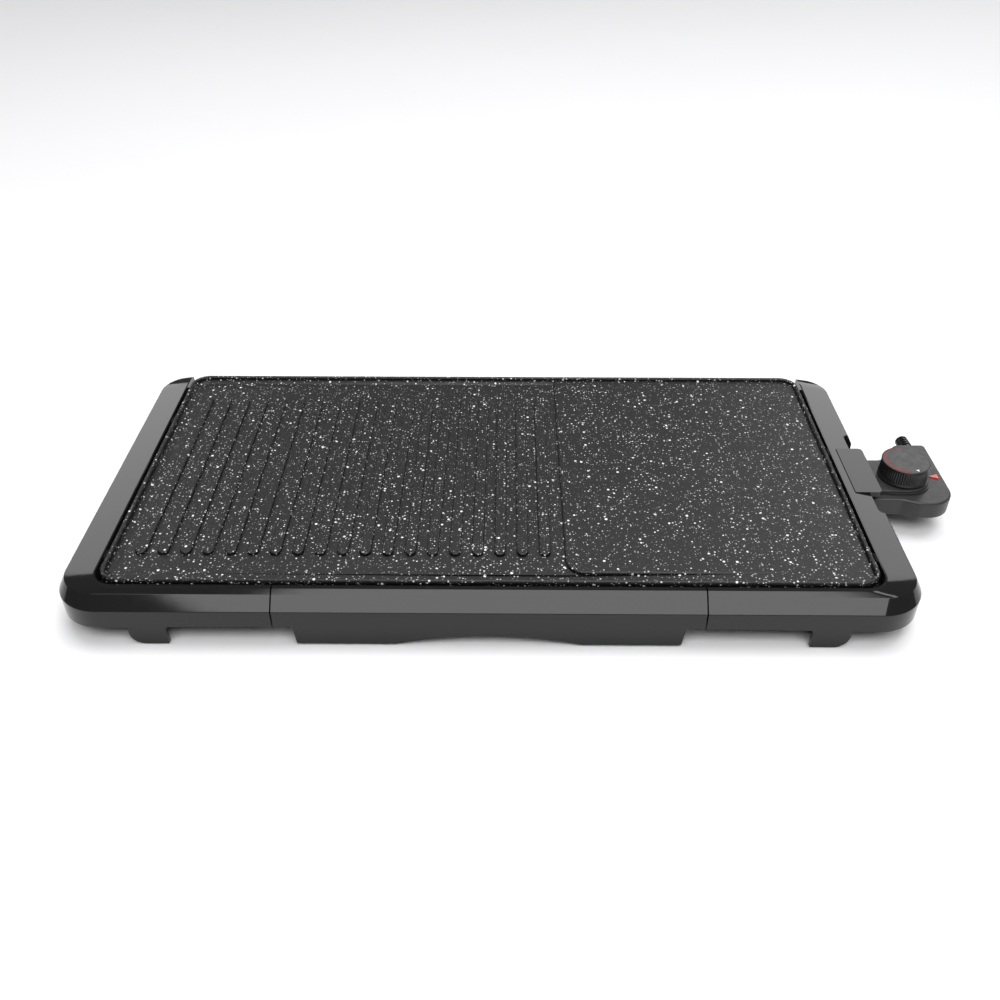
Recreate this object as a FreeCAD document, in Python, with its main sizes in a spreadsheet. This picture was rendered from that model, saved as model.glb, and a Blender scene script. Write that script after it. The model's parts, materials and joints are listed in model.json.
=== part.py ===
import FreeCAD, Part
import math
import os
import re
import Sketcher

# Electric griddle: base with heating element, lift-off plate, drip tray, plug-in heat control and knob.
# Lengths are in millimetres. X runs along the griddle, Y towards its back, Z up from the table.
# Sub-parts are drawn about the middle of the plate and shifted together by their Placement.

os.makedirs("parts", exist_ok=True)
doc = FreeCAD.newDocument("griddle")
sheet = doc.addObject("Spreadsheet::Sheet", "Sizes")

SIZES = {
    # plate
    "plate_long": 483, "plate_deep": 248, "plate_corner": 13, "rim_top": 40.2, "rim_wide": 3,
    "flat_inset": 3.6,
    "cook_level": 35.6, "plate_skin": 4, "skirt_wall": 3.2, "skirt_low": 27, "rim_round": 1.2,
    "foot_round": 3.6,
    "rib_count": 19, "rib_pitch": 14.33, "rib_wide": 7.4, "rib_high": 2.2, "rib_first": -222.7,
    "rib_front": -95.6, "rib_back": 93.6, "rib_round": 1.1,
    "flat_left": 47.8, "flat_front": -112.8, "flat_corner": 12, "gutter_back": -112.8, "gutter_front": -120,
    "gutter_end": 180, "gutter_drop": 1.1, "gutter_low": 50, "gutter_turn": 95, "ramp_end": 184,
    "drain_x": 25, "drain_y": -117.6, "drain_r": 2.6, "spout_wall": 0.5, "spout_low": 23,
    "channel_left": 160, "channel_right": 228, "channel_half": 8, "channel_low": 22, "channel_roof": 26.7,
    # frame
    "rail_half": 269.5, "rail_front": -139.3, "rail_back": 131, "rail_low": 13.9, "rail_wall_top": 27.4,
    "rail_corner": 30, "rail_back_corner": 26, "shell_wall": 2.6,
    "crown_z": 35, "crown_x": 265.3, "crown_y": -131.6, "crown_back": 129.9,
    "lip_z": 37.2, "lip_x": 246, "lip_y": -128.3, "lip_back": 128.9, "crease_round": 0.8,
    "opening_half": 245, "opening_front": -125, "opening_corner": 13, "opening_back": 160,
    "seam_x": 133.2, "seam_gap": 0.9, "seam_low": 15.4,
    "ledge_in": 232, "ledge_wall": 2.4, "tab_in": 198, "bar_half_wide": 8, "front_bar_y": -100,
    "rear_bar_y": 108,
    "bar_low": 17.8, "bar_top": 19, "bar_half": 230, "bar_screw_x": 226, "pillar_low": 15.2,
    "bar_play": 0.5,
    "notch_in": 240, "notch_out": 244.5, "front_notch_y": -62, "front_notch_end": -30,
    "rear_notch_y": 42, "rear_notch_end": 92, "strip_half": 229, "strip_front": 126.8, "strip_back": 129.4,
    "foot_in": 198.7, "foot_out": 222.3, "foot_slant": 0.1, "foot_deep": 24, "foot_low": 0.7,
    "foot_inset": 0.1,
    "foot_blade": 3, "core_in": 203, "core_out": 217, "pad_margin": 1.5, "pad_top": 2.2, "pad_round": 2.5,
    "rear_foot_y": 96, "foot_side_round": 9,
    "recess_half": 47.6, "recess_x": 261, "recess_round": 4, "window_half": 25.2, "window_top": 29.7,
    "pin_gap_half": 22,
    "guard_in": 250.5, "guard_out": 269, "guard_half": 26.7, "guard_low": 33.3, "guard_round": 3,
    # heat shield and element
    "shield_half": 206, "shield_front": -104, "shield_back": 110, "shield_sheet": 0.8, "shield_top": 23.6,
    "coil_r": 3.25, "coil_z": 28, "coil_bend": 18, "coil_reach": 196, "coil_inner": 95,
    "coil_outer_y": 90, "coil_inner_y": 32, "terminal_y": 14, "terminal_z": 22.5, "sheath_end": 249.5,
    "terminal_r": 2.1, "terminal_tip": 266, "riser_x": 226, "riser_top": 214,
    "support_wide": 3, "support_left": -150, "support_middle": 0, "support_right": 80,
    "support_inner": -100,
    "support_half": 5, "bushing_r": 5, "fit_gap": 0.05, "riser_bend": 7, "bracket_x": 245.2,
    "bracket_sheet": 1.2, "collar": 1.6, "bracket_low": 16,
    "bracket_half": 21.7,
    "bracket_top": 27,
    # spring clips beside the plate
    "clip_x": 242.4, "clip_foot": 242, "clip_sheet": 1, "clip_half": 4, "clip_high": 5, "clip_front": -90,
    "clip_left_back": 70, "clip_right_back": 30,
    # tray
    "tray_half": 112, "tray_front_y": -124, "tray_back": 56, "tray_low": 3.4, "tray_top": 16.4,
    "tray_wall": 1,
    "tray_corner": 8, "tray_lip": 117.5, "lip_thick": 1.2, "flange_inset": 12, "runner_in": 113,
    "runner_x": 118.2,
    "runner_sheet": 1.2, "runner_low": 13.8, "runner_flange": 126, "runner_front": -107, "runner_back": 115,
    "flange_top_x": 121, "flange_low_x": 119.1, "flange_low": 1.7, "flange_wall": 3, "arch_x": 58,
    "arch_z": 8.8, "arch_round": 1.6, "lug_in": 74, "lug_out": 100, "lug_low": 5,
    "lug_y": -124, "lug_screw_x": 87, "lug_screw_z": 10, "screw_bite": 3.2,
    # heat control
    "neck_in": 252, "neck_half": 24.6, "neck_out": 285, "paddle_x": 297, "paddle_front": -29,
    "paddle_out": 322.4, "paddle_back": 44.5, "paddle_back_x": 300, "case_low": 16, "case_split": 22.5,
    "case_top": 29, "case_wall": 2, "case_corner": 17.5, "case_sharp": 3, "case_blend": 8, "case_edge": 1.4,
    "knob_x": 291.4, "deck_half": 19.3, "deck_in": 262, "deck_high": 3, "deck_step": 1,
    "deck_step_high": 1.4,
    "probe_r": 2.75, "probe_z": 23.5, "probe_tip": 166, "probe_root": 271, "slide_gap": 0.3,
    "sleeve_r": 3.4, "sleeve_bore": 2.15, "sleeve_in": 255, "sleeve_out": 270.2, "carrier_in": 262,
    "carrier_out": 270, "carrier_half": 20, "carrier_low": 18.2, "carrier_top": 26.8,
    "knob_low": 32.9, "knob_top": 45.7, "knob_base_r": 16.9, "knob_top_r": 16.5, "knob_skin": 2,
    "knob_round": 0.8,
    "shaft_r": 3, "shaft_low": 19.4, "shaft_top": 42.5, "shaft_gap": 0.06, "hub_r": 5.2, "hub_low": 33.6,
    "cam_low": 22.5, "cam_high": 2, "cam_r": 7, "cam_tooth": 10, "cam_tooth_half": 1.1, "stop_r": 1.3,
    "stop_reach": 9.6, "stop_side": -0.4, "post_top": 26, "plate_bracket_low": 18.2,
    "plate_bracket_high": 1.2,
    "web_x": 271, "web_half": 9, "web_top": 25.6, "bracket_reach": 12, "bracket_side": 13,
    "blade_in": 273, "blade_out": 299.4, "blade_y": 17, "blade_half": 2, "blade_thick": 0.4,
    "blade_low_z": 19.4, "blade_high_z": 22.2, "point_r": 1.4, "point_high": 0.9, "point_x": 296.4,
    "holder_in": 270.6, "holder_half": 3.5, "holder_top": 24.2,
    "bimetal_front": -7, "bimetal_back": -2, "bimetal_low": 20.2, "bimetal_thick": 0.6,
    "lens_x": 315.4, "lens_y": 3, "lens_long": 6.2, "lens_half": 2.6, "lens_top": 29.6, "lens_low": 26,
    "lamp_r": 2.4, "lamp_long": 12, "lamp_z": 21.6,
    "relief_x": 311.5, "relief_z": 22.5, "relief_r": 5, "relief_end": 60, "relief_neck": 3.6,
    "relief_flange": 4.4, "flange_thick": 1.6, "relief_collar": 3, "ring_start": 4.3, "ring_pitch": 2.9,
    "ring_wide": 1.6, "ring_taper": 0.15, "ring_deep": 1.2, "cord_r": 3.1,
    "clamp_y": 33, "clamp_half": 8, "clamp_deep": 6, "clamp_low": 18.1, "clamp_thick": 1.2,
    "clamp_head_r": 1.9, "clamp_head": 1.4, "clamp_screw_x": 5.6,
    "screw_r": 1.5, "screw_head_r": 2.8, "screw_head": 1.6, "boss_r": 3, "screw_play": 0.25,
    "drive_half": 2, "drive_wide": 0.8, "drive_deep": 0.7,
    "post_front_x": 304, "post_front_y": -19, "post_back_x": 299.8, "post_back_y": 30,
    # overall place: the sub-parts' shared origin
    "middle_x": 26.45, "middle_y": -4.15,
}
for row, (word, number) in enumerate(SIZES.items(), start=1):
    sheet.set(f"A{row}", str(number))
    sheet.setAlias(f"A{row}", word)
doc.recompute()


def formula(text):
    """Spreadsheet expression for a formula written in the sheet's own words."""
    def named(match):
        word = match.group(0)
        return "Sizes." + word if word in SIZES else word
    return re.sub(r"[a-z][a-z_0-9]*", named, str(text))


def value(text):
    """Number that a formula gives now."""
    return float(sheet.evalExpression(formula(text)))


def bind(thing, **properties):
    """Ties properties to formulas; double underscores stand for dots in a property's path."""
    for path, text in properties.items():
        thing.setExpression(path.replace("__", "."), formula(text))


# --- booleans and primitives -------------------------------------------------------------------

def place(thing, x="0", y="0", z="0"):
    bind(thing, Placement__Base__x=x, Placement__Base__y=y, Placement__Base__z=z)


def block(name, x_span, y_span, z_span):
    """Box between two formulas along each axis."""
    thing = doc.addObject("Part::Box", name)
    bind(thing, Length=f"({x_span[1]}) - ({x_span[0]})", Width=f"({y_span[1]}) - ({y_span[0]})",
         Height=f"({z_span[1]}) - ({z_span[0]})")
    place(thing, x_span[0], y_span[0], z_span[0])
    return thing


def rod(name, radius, length, x, y, z, axis="z"):
    """Cylinder from a start point along +X, +Y or +Z."""
    thing = doc.addObject("Part::Cylinder", name)
    turns = {"x": (FreeCAD.Vector(0, 1, 0), 90), "y": (FreeCAD.Vector(1, 0, 0), -90),
             "z": (FreeCAD.Vector(0, 0, 1), 0)}
    thing.Placement = FreeCAD.Placement(FreeCAD.Vector(), FreeCAD.Rotation(*turns[axis]))
    bind(thing, Radius=radius, Height=length)
    place(thing, x, y, z)
    return thing


def joined(name, *things):
    fuse = doc.addObject("Part::MultiFuse", name)
    fuse.Shapes = list(things)
    return fuse


def less(name, base, *tools):
    """Base with every tool cut away."""
    cut = doc.addObject("Part::Cut", name)
    cut.Base = base
    cut.Tool = tools[0] if len(tools) == 1 else joined(name + "_tools", *tools)
    return cut


def overlap(name, first, second):
    common = doc.addObject("Part::Common", name)
    common.Base = first
    common.Tool = second
    return common


def group(name, *things):
    """Separate solids kept in one sub-part."""
    compound = doc.addObject("Part::Compound", name)
    compound.Links = list(things)
    return compound


def mirrored(name, source, normal):
    """Mirror image of a sub-part across a plane through the middle of the plate."""
    image = doc.addObject("Part::Mirroring", name)
    image.Source = source
    image.Normal = normal
    return image


def rounded(name, base, radius, wanted):
    """Base with the edges that a test picks rounded to a formula's radius."""
    doc.recompute()
    fillet = doc.addObject("Part::Fillet", name)
    fillet.Base = base
    size = value(radius)
    fillet.Edges = [(i, size, size) for i, edge in enumerate(base.Shape.Edges, 1) if wanted(edge)]
    return fillet


def upright(edge):
    """Whether an edge is straight and runs along Z."""
    start, end = edge.Vertexes[0].Point, edge.Vertexes[-1].Point
    return (start - end).Length > 0.5 and abs(start.x - end.x) + abs(start.y - end.y) < 1e-4


# --- sketches and bodies -----------------------------------------------------------------------

def new_body(name):
    return doc.addObject("PartDesign::Body", name)


def sketch_on(body, role, name, lift="0"):
    """Sketch on an origin plane of its own body, lifted along the plane's normal."""
    plane = next(feature for feature in body.Origin.OriginFeatures if feature.Role == role)
    sketch = body.newObject("Sketcher::SketchObject", name)
    sketch.AttachmentSupport = (plane, [""])
    sketch.MapMode = "FlatFace"
    bind(sketch, AttachmentOffset__Base__z=lift)
    return sketch


def hold(sketch, kind, text, *where):
    """Adds a dimension and ties it to a formula."""
    number = sketch.addConstraint(Sketcher.Constraint(kind, *where, value(text)))
    sketch.setExpression(f"Constraints[{number}]", formula(text))


def outline(sketch, corners):
    """Closed polygon; each corner is a pair of formulas with its own two dimensions."""
    points = [FreeCAD.Vector(value(across), value(along), 0) for across, along in corners]
    first = sketch.GeometryCount
    count = len(points)
    for index, point in enumerate(points):
        sketch.addGeometry(Part.LineSegment(point, points[(index + 1) % count]), False)
    for index, (across, along) in enumerate(corners):
        sketch.addConstraint(Sketcher.Constraint("Coincident", first + index, 2,
                                                 first + (index + 1) % count, 1))
        hold(sketch, "DistanceX", across, -1, 1, first + index, 1)
        hold(sketch, "DistanceY", along, -1, 1, first + index, 1)


def circle(sketch, across, along, radius):
    spot = FreeCAD.Vector(value(across), value(along), 0)
    number = sketch.addGeometry(Part.Circle(spot, FreeCAD.Vector(0, 0, 1), value(radius)), False)
    hold(sketch, "DistanceX", across, -1, 1, number, 3)
    hold(sketch, "DistanceY", along, -1, 1, number, 3)
    hold(sketch, "Radius", radius, number)


def round_box(sketch, left, right, low, high, low_round, high_round):
    """Rectangle whose two low corners and two high corners have their own radii."""
    x0, x1, y0, y1 = value(left), value(right), value(low), value(high)
    spots = [(x0, y0, 1, 1, low_round), (x1, y0, -1, 1, low_round), (x1, y1, -1, -1, high_round),
             (x0, y1, 1, -1, high_round)]
    half_turn = math.pi
    starts = [half_turn, 1.5 * half_turn, 0, 0.5 * half_turn]
    arcs = []
    for (x, y, side_x, side_y, radius), start in zip(spots, starts):
        size = value(radius)
        middle = FreeCAD.Vector(x + side_x * size, y + side_y * size, 0)
        ring = Part.Circle(middle, FreeCAD.Vector(0, 0, 1), size)
        arcs.append(sketch.addGeometry(Part.ArcOfCircle(ring, start, start + half_turn / 2), False))
    lines = []
    for index, arc in enumerate(arcs):
        following = arcs[(index + 1) % 4]
        begin = sketch.getPoint(arc, 2)
        end = sketch.getPoint(following, 1)
        line = sketch.addGeometry(Part.LineSegment(begin, end), False)
        sketch.addConstraint(Sketcher.Constraint("Tangent", arc, 2, line, 1))
        sketch.addConstraint(Sketcher.Constraint("Tangent", line, 2, following, 1))
        lines.append(line)
    sketch.addConstraint(Sketcher.Constraint("Horizontal", lines[0]))
    sketch.addConstraint(Sketcher.Constraint("Horizontal", lines[2]))
    sketch.addConstraint(Sketcher.Constraint("Vertical", lines[1]))
    sketch.addConstraint(Sketcher.Constraint("Vertical", lines[3]))
    for arc, radius in zip(arcs, (low_round, low_round, high_round, high_round)):
        hold(sketch, "Radius", radius, arc)
    hold(sketch, "DistanceY", low, -1, 1, lines[0], 1)
    hold(sketch, "DistanceX", right, -1, 1, lines[1], 1)
    hold(sketch, "DistanceY", high, -1, 1, lines[2], 1)
    hold(sketch, "DistanceX", left, -1, 1, lines[3], 1)


def slot(sketch, along_x, low, high, radius):
    """Straight slot along the sketch's second axis, with round ends inside low and high."""
    x, y0, y1, size = value(along_x), value(low), value(high), value(radius)
    half_turn = math.pi
    up = FreeCAD.Vector(0, 0, 1)
    ends = [Part.ArcOfCircle(Part.Circle(FreeCAD.Vector(x, y0 + size, 0), up, size), half_turn,
                             2 * half_turn),
            Part.ArcOfCircle(Part.Circle(FreeCAD.Vector(x, y1 - size, 0), up, size), 0, half_turn)]
    bottom, top = [sketch.addGeometry(end, False) for end in ends]
    right = sketch.addGeometry(Part.LineSegment(sketch.getPoint(bottom, 2), sketch.getPoint(top, 1)), False)
    left = sketch.addGeometry(Part.LineSegment(sketch.getPoint(top, 2), sketch.getPoint(bottom, 1)), False)
    for first, second in ((bottom, right), (right, top), (top, left), (left, bottom)):
        sketch.addConstraint(Sketcher.Constraint("Tangent", first, 2, second, 1))
    sketch.addConstraint(Sketcher.Constraint("Vertical", right))
    hold(sketch, "Radius", radius, bottom)
    hold(sketch, "DistanceX", along_x, -1, 1, bottom, 3)
    hold(sketch, "DistanceY", f"({low}) + ({radius})", -1, 1, bottom, 3)
    hold(sketch, "DistanceY", f"({high}) - ({radius})", -1, 1, top, 3)


def pad(body, sketch, length, name, back=False):
    feature = body.newObject("PartDesign::Pad", name)
    feature.Profile = sketch
    feature.Reversed = back
    bind(feature, Length=length)
    return feature


def pocket(body, sketch, length, name, back=False):
    """Cut from a sketch against its normal, or along it when back is set; the volume has to fall."""
    doc.recompute()
    before = body.Shape.Volume
    feature = body.newObject("PartDesign::Pocket", name)
    feature.Profile = sketch
    feature.Reversed = back
    bind(feature, Length=length)
    doc.recompute()
    if body.Shape.Volume >= before - 0.01:
        raise ValueError(name + " cuts nothing")
    return feature


def soften(body, radius, name, wanted):
    """Rounds the edges of the body's tip that a test picks."""
    doc.recompute()
    feature = body.newObject("PartDesign::Fillet", name)
    base = body.Tip if body.Tip is not feature else feature.BaseFeature
    edges = [f"Edge{i}" for i, edge in enumerate(base.Shape.Edges, 1) if wanted(edge)]
    feature.Base = (base, edges)
    bind(feature, Radius=radius)
    body.Tip = feature
    doc.recompute()
    return feature


def at_height(text, tolerance=0.01):
    """Test for edges that lie whole at one height."""
    level = value(text)
    return lambda edge: all(abs(v.Point.z - level) < tolerance for v in edge.Vertexes) and abs(
        edge.BoundBox.ZMax - edge.BoundBox.ZMin) < tolerance


def near(edge, x, y, reach=1.5):
    middle = edge.BoundBox.Center
    return abs(middle.x - x) < reach and abs(middle.y - y) < reach


parts = []


def sub_part(name, thing):
    """Gives a finished sub-part its name and its place about the shared origin."""
    if thing.TypeId in ("Part::Box", "Part::Cylinder"):
        thing = group(name + "_placed", thing)
    thing.Label = name
    place(thing, "-middle_x", "-middle_y", "0")
    parts.append(thing)
    return thing


# --- griddle plate -----------------------------------------------------------------------------

def make_plate():
    body = new_body("plate_body")
    sketch = sketch_on(body, "XY_Plane", "plate_outline", "skirt_low")
    round_box(sketch, "-plate_long / 2", "plate_long / 2", "-plate_deep / 2", "plate_deep / 2",
              "plate_corner", "plate_corner")
    pad(body, sketch, "rim_top - skirt_low", "plate_block")
    sketch = sketch_on(body, "XY_Plane", "dish_outline", "rim_top")
    round_box(sketch, "-plate_long / 2 + rim_wide", "plate_long / 2 - rim_wide",
              "-plate_deep / 2 + rim_wide",
              "plate_deep / 2 - rim_wide", "plate_corner - rim_wide", "plate_corner - rim_wide")
    pocket(body, sketch, "rim_top - cook_level", "dish")
    soften(body, "foot_round", "dish_foot", at_height("cook_level"))
    soften(body, "rim_round", "rim_crest", at_height("rim_top"))
    sketch = sketch_on(body, "XY_Plane", "underside_outline", "skirt_low")
    round_box(sketch, "-plate_long / 2 + skirt_wall", "plate_long / 2 - skirt_wall",
              "-plate_deep / 2 + skirt_wall",
              "plate_deep / 2 - skirt_wall", "plate_corner - skirt_wall", "plate_corner - skirt_wall")
    pocket(body, sketch, "cook_level - plate_skin - skirt_low", "underside", back=True)
    sketch = sketch_on(body, "XY_Plane", "flat_outline", "cook_level - 1")
    inner_x, inner_y = "plate_long / 2 - flat_inset", "plate_deep / 2 - flat_inset"
    outline(sketch, [("flat_left", "flat_front"), ("ramp_end", "flat_front"), ("ramp_end", f"-({inner_y})"),
                     (inner_x, f"-({inner_y})"), (inner_x, inner_y), ("flat_left", inner_y)])
    pad(body, sketch, "rib_high + 1", "flat_area")
    left, front = value("flat_left"), value("flat_front")
    soften(body, "flat_corner", "flat_corner_round", lambda edge: upright(edge) and near(edge, left, front))
    level = at_height("cook_level + rib_high")
    limit = value(inner_x) - 1
    soften(body, "rib_high - 0.8", "flat_edge_round",
           lambda edge: level(edge) and edge.BoundBox.XMax < value("ramp_end") + 1
           and edge.BoundBox.YMin > front - 1 and edge.BoundBox.XMin < limit
           and (abs(edge.BoundBox.XMin - left) < 0.1 or abs(edge.BoundBox.YMax - front) < 0.1))
    sketch = sketch_on(body, "XZ_Plane", "gutter_outline", "-gutter_back")
    outline(sketch, [("-gutter_end", "cook_level + 0.01"), ("0", "cook_level - gutter_drop"),
                     ("gutter_low", "cook_level - gutter_drop"), ("gutter_turn", "cook_level + 0.01")])
    pocket(body, sketch, "gutter_back - gutter_front", "gutter", back=True)
    sketch = sketch_on(body, "XZ_Plane", "ramp_outline", "-flat_front - 0.5")
    outline(sketch, [("gutter_turn", "cook_level - 0.01"), ("ramp_end + 1", "cook_level - 0.01"),
                     ("ramp_end + 1", "cook_level + rib_high"), ("ramp_end", "cook_level + rib_high")])
    pad(body, sketch, f"{inner_y} + flat_front + 0.5", "gutter_ramp")
    sketch = sketch_on(body, "XY_Plane", "rib_outline", "cook_level - 0.5")
    slot(sketch, "rib_first", "rib_front", "rib_back", "rib_wide / 2")
    rib = pad(body, sketch, "rib_high + 0.5", "rib")
    doc.recompute()
    pattern = body.newObject("PartDesign::LinearPattern", "ribs")
    pattern.Originals = [rib]
    pattern.Direction = (sketch, ["H_Axis"])
    bind(pattern, Length="rib_pitch * (rib_count - 1)", Occurrences="rib_count")
    body.Tip = pattern
    doc.recompute()
    rib_end = value("flat_left") - 2
    soften(body, "rib_round", "rib_tops", lambda edge: level(edge) and edge.BoundBox.XMax < rib_end)
    sketch = sketch_on(body, "XY_Plane", "channel_outline", "channel_low")
    outline(sketch, [("channel_left", "-channel_half"), ("channel_right", "-channel_half"),
                     ("channel_right", "channel_half"), ("channel_left", "channel_half")])
    pad(body, sketch, "cook_level - plate_skin - channel_low + 0.2", "probe_channel")
    sketch = sketch_on(body, "XY_Plane", "channel_groove", "channel_low")
    groove = "probe_r + slide_gap"
    outline(sketch, [("channel_left - 1", f"-({groove})"), ("channel_right + 1", f"-({groove})"),
                     ("channel_right + 1", groove), ("channel_left - 1", groove)])
    pocket(body, sketch, "channel_roof - channel_low", "probe_groove", back=True)
    sketch = sketch_on(body, "XY_Plane", "drain_outline", "rim_top")
    circle(sketch, "drain_x", "drain_y", "drain_r")
    pocket(body, sketch, "rim_top - skirt_low", "drain_hole")
    sub_part("griddle_plate", body)
    tube = rod("spout_tube", "drain_r + spout_wall", "cook_level - plate_skin - spout_low", "drain_x",
               "drain_y",
               "spout_low")
    bore = rod("spout_bore", "drain_r", "rim_top", "drain_x", "drain_y", "0")
    sub_part("drain_spout", less("spout", tube, bore))


# --- rails: one outer form shared by the end mouldings and the tray front -----------------------

def rail_form(name, inset):
    """Block with the rails' outer profile, shrunk by an inset formula on the sides and the top."""
    body = new_body(name)
    levels = [("rail_half", "rail_front", "rail_back", "rail_wall_top", "rail_corner", "rail_back_corner"),
              ("crown_x", "crown_y", "crown_back", "crown_z", "rail_corner - 7", "rail_back_corner - 6"),
              ("lip_x", "lip_y", "lip_back", "lip_z", "rail_corner - 14", "rail_back_corner - 13")]
    sections = []
    for number, (half, front, back, height, low_round, high_round) in enumerate(levels):
        sketch = sketch_on(body, "XY_Plane", f"{name}_section_{number}", f"{height} - {inset}")
        if inset == "0":
            round_box(sketch, f"-{half}", half, front, back, low_round, high_round)
        else:
            round_box(sketch, f"-{half} + {inset}", f"{half} - {inset}", f"{front} + {inset}",
                      f"{back} - {inset}",
                      f"{low_round} - {inset}", f"{high_round} - {inset}")
        sections.append(sketch)
    pad(body, sections[0], f"rail_wall_top - {inset} - rail_low", name + "_wall", back=True)
    loft = body.newObject("PartDesign::AdditiveLoft", name + "_crown")
    loft.Profile = sections[0]
    loft.Sections = sections[1:]
    loft.Ruled = True
    if inset == "0":
        creases = [at_height("rail_wall_top"), at_height("crown_z")]
        soften(body, "crease_round", name + "_creases", lambda edge: any(level(edge) for level in creases))
    doc.recompute()
    return body


def opening_form(name, grow):
    """Upright prism through the plate's opening, grown sideways and forwards by a formula."""
    body = new_body(name)
    sketch = sketch_on(body, "XY_Plane", name + "_outline")
    round_box(sketch, f"-opening_half - {grow}", f"opening_half + {grow}", f"opening_front - {grow}",
              "opening_back", f"opening_corner + {grow}", "10")
    pad(body, sketch, "60", name + "_prism")
    return body


def make_rails():
    outer = rail_form("rail_outer", "0")
    inner = rail_form("rail_inner", "shell_wall")
    opening = opening_form("plate_opening", "0")
    wall_line = opening_form("opening_wall", "ledge_wall")
    dropped = block("hollow_reach", ("-rail_half + shell_wall", "rail_half - shell_wall"),
                    ("rail_front + shell_wall", "rail_back - shell_wall"),
                    ("rail_low - 1", "rail_wall_top - 4"))
    trimmed = rounded("hollow_low", dropped, "rail_back_corner", upright)
    hollow = less("rail_hollow", joined("hollow_whole", inner, trimmed), wall_line)
    solid = less("rail_solid", outer, opening)
    return less("rail_shell", solid, hollow)


def foot_pair():
    """Front and rear feet of the right-hand moulding: straight inside, curved outside."""
    feet = []
    for name, front, top in (("front", "rail_front + foot_inset", "rail_wall_top - 3"),
                             ("rear", "rear_foot_y", "pillar_low + 0.4")):
        body = new_body(name + "_foot")
        sketch = sketch_on(body, "XZ_Plane", name + "_foot_outline", f"-({front})")
        outline(sketch, [("foot_in", "foot_low"), ("foot_out", "foot_low"), ("foot_out", top),
                         ("foot_in + foot_slant", top), ("foot_in + foot_slant", "rail_low + 1")])
        pad(body, sketch, "foot_blade", name + "_foot_blade", back=True)
        spot = value("foot_out")
        sole = at_height("foot_low")
        soften(body, "foot_side_round", name + "_foot_round",
               lambda edge: sole(edge) and abs(edge.BoundBox.Center.x - spot) < 0.1)
        core = block(name + "_foot_core", ("core_in", "core_out"), (f"{front} + 1", f"{front} + foot_deep"),
                     ("foot_low", top))
        feet += [body, core]
    return feet


def end_moulding(name, shell):
    """Right-hand rail with its ledge, inner wall, bar tabs and feet."""
    keep = block(name + "_zone", ("seam_x", "rail_half + 5"), ("rail_front - 5", "rail_back + 5"),
                 ("0", "lip_z + 5"))
    rail = overlap(name + "_rail", shell, keep)
    ledge = block(name + "_ledge", ("ledge_in", "opening_half + 1"), ("opening_front - 1", "rail_back - 4"),
                  ("skirt_low - ledge_wall", "skirt_low"))
    front_ledge = block(name + "_front_ledge", ("seam_x + 2", "ledge_in + 1"),
                        ("opening_front - 1", "opening_front + 5"), ("skirt_low - ledge_wall", "skirt_low"))
    inner_wall = block(name + "_inner_wall", ("ledge_in", "ledge_in + ledge_wall"),
                       ("opening_front + 1", "rail_back - 4"), ("pillar_low", "skirt_low"))
    tabs = [block(f"{name}_tab_{side}", ("tab_in", "ledge_in + 1"),
                  (f"{side}_bar_y - bar_half_wide", f"{side}_bar_y + bar_half_wide"),
                  ("pillar_low", "bar_low"))
            for side in ("front", "rear")]
    seam_rib = block(name + "_seam_rib", ("seam_x", "seam_x + shell_wall"),
                     ("rail_front + 1", "opening_front - 1"), ("seam_low", "rail_wall_top - 1"))
    whole = joined(name + "_whole", rail, ledge, front_ledge, inner_wall, seam_rib, *tabs, *foot_pair())
    arch = new_body(name + "_arch")
    sketch = sketch_on(arch, "XZ_Plane", name + "_arch_outline", "-opening_front - 2")
    outline(sketch, [("seam_x - 1", "rail_low - 1"), ("foot_in - 1", "rail_low - 1"),
                     ("foot_in - 1", "rail_low + 0.9"), ("seam_x - 1", "seam_low")])
    pad(arch, sketch, "30", name + "_arch_prism")
    notches = [block(f"{name}_notch_{side}", ("notch_in", "notch_out"),
                     (f"{side}_notch_y", f"{side}_notch_end"),
                     ("skirt_low - ledge_wall - 1", "skirt_low + 1"))
               for side in ("front", "rear")]
    bar_gaps = [block(f"{name}_bar_gap_{side}", ("ledge_in - 1", "ledge_in + ledge_wall + 1"),
                      (f"{side}_bar_y - bar_half_wide - bar_play",
                       f"{side}_bar_y + bar_half_wide + bar_play"),
                      ("bar_low", "bar_top + screw_head + 0.9"))
                for side in ("front", "rear")]
    holes = [rod(f"{name}_screw_hole_{side}", "screw_r + screw_play", "6", "bar_screw_x", f"{side}_bar_y",
                 "pillar_low - 1") for side in ("front", "rear")]
    holes += [foot_pad(f"{name}_recess_{side}", 1, y)
              for side, y in (("front", "rail_front + foot_inset"), ("rear", "rear_foot_y"))]
    return less(name + "_drilled", whole, arch, *notches, *bar_gaps, *holes)


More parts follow.
